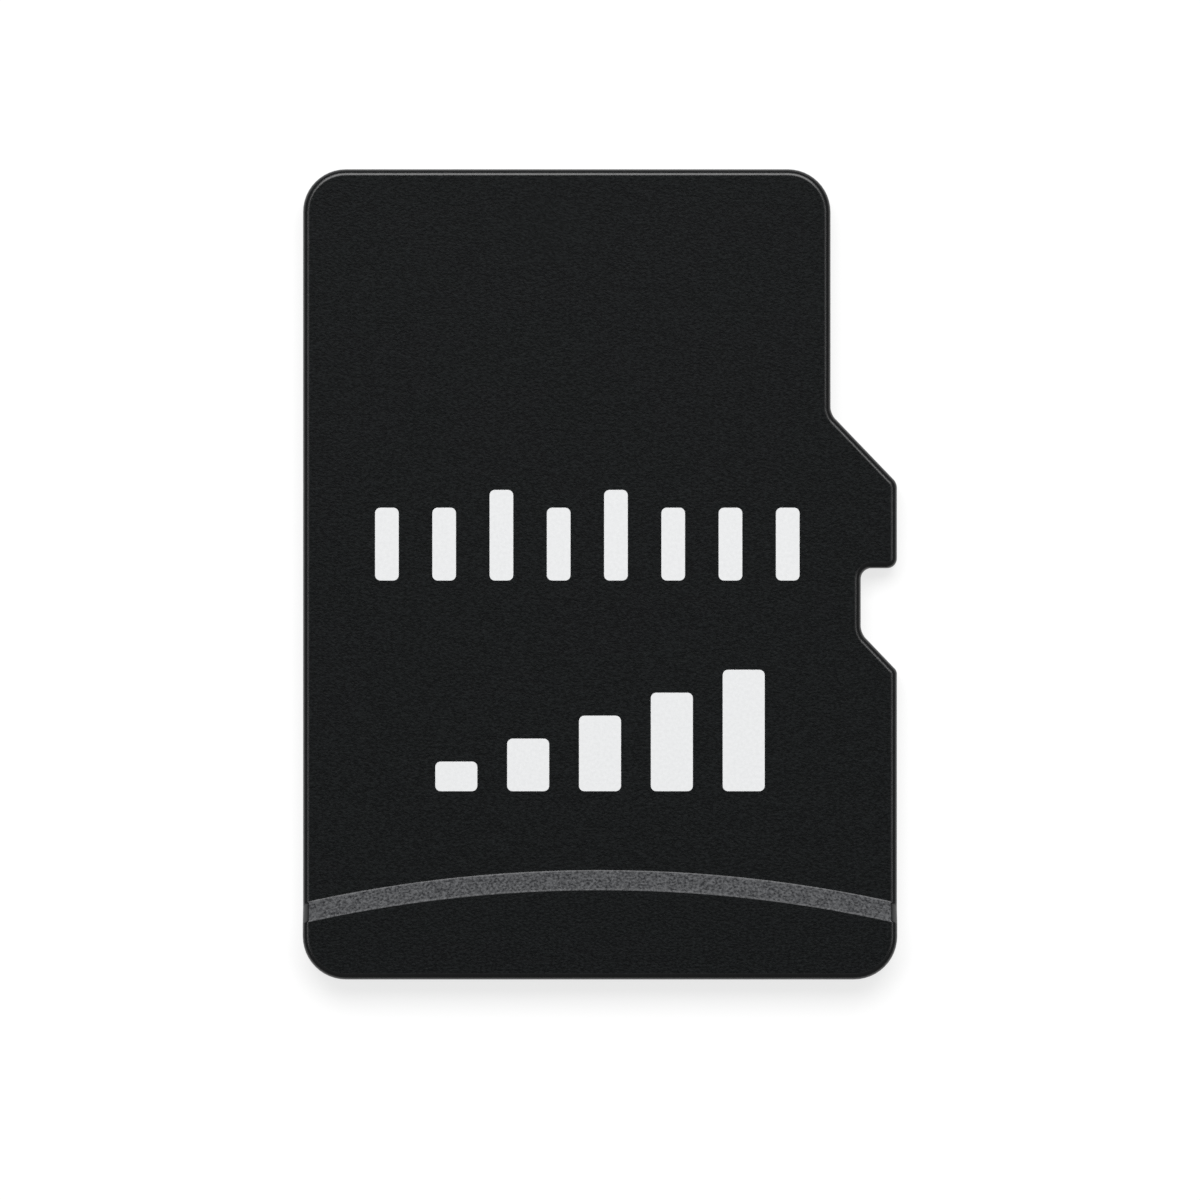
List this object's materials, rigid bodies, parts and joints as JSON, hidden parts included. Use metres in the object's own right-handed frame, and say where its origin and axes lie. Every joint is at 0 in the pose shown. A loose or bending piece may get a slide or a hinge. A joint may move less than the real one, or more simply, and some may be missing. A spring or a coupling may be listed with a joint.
{
  "type": "memory card",
  "caption": "Thin flat memory card with a narrow contact end, a sloping shoulder, a latch notch in one side and a raised finger lip.",
  "frame": {"origin": "middle of the card's footprint, on the back face that it lies on", "axes": "+Y towards the leading end with the contacts, +X towards the side with the latch notch, +Z out of the label side"},
  "size_m": [0.011, 0.015, 0.001],
  "materials": {
    "moulding": "fine moulded grain",
    "board": "satin black mask",
    "contact_gold": "plated",
    "copper": "etched",
    "bond_gold": "plated",
    "silicon": "lapped",
    "die_film": "cured film",
    "capacitor_ceramic": "fired",
    "resistor_ceramic": "glazed",
    "tin": "reflowed",
    "white_ink": "screen printed",
    "grey_ink": "rough print"
  },
  "bodies": {
    "root": {"moulded_body": "moulding", "laminate_board": "board", "contact_pad_1": "contact_gold", "contact_pad_2": "contact_gold", "contact_pad_3": "contact_gold", "contact_pad_4": "contact_gold", "contact_pad_5": "contact_gold", "contact_pad_6": "contact_gold", "contact_pad_7": "contact_gold", "contact_pad_8": "contact_gold", "contact_vias": "copper", "copper_traces": "copper", "flash_bond_fingers": "bond_gold", "controller_bond_fingers": "bond_gold", "flash_film_lower": "die_film", "flash_die_lower": "silicon", "flash_film_upper": "die_film", "flash_die_upper": "silicon", "controller_film": "die_film", "controller_die": "silicon", "flash_board_wires": "bond_gold", "flash_stack_wires": "bond_gold", "controller_wires": "bond_gold", "component_lands": "copper", "solder_joints": "tin", "capacitor_blocks": "capacitor_ceramic", "capacitor_terminals": "tin", "resistor_blocks": "resistor_ceramic", "resistor_terminals": "tin", "lip_stripe_print": "grey_ink", "contact_row_print": "white_ink", "level_gauge_print": "white_ink"}
  },
  "joints": []
}
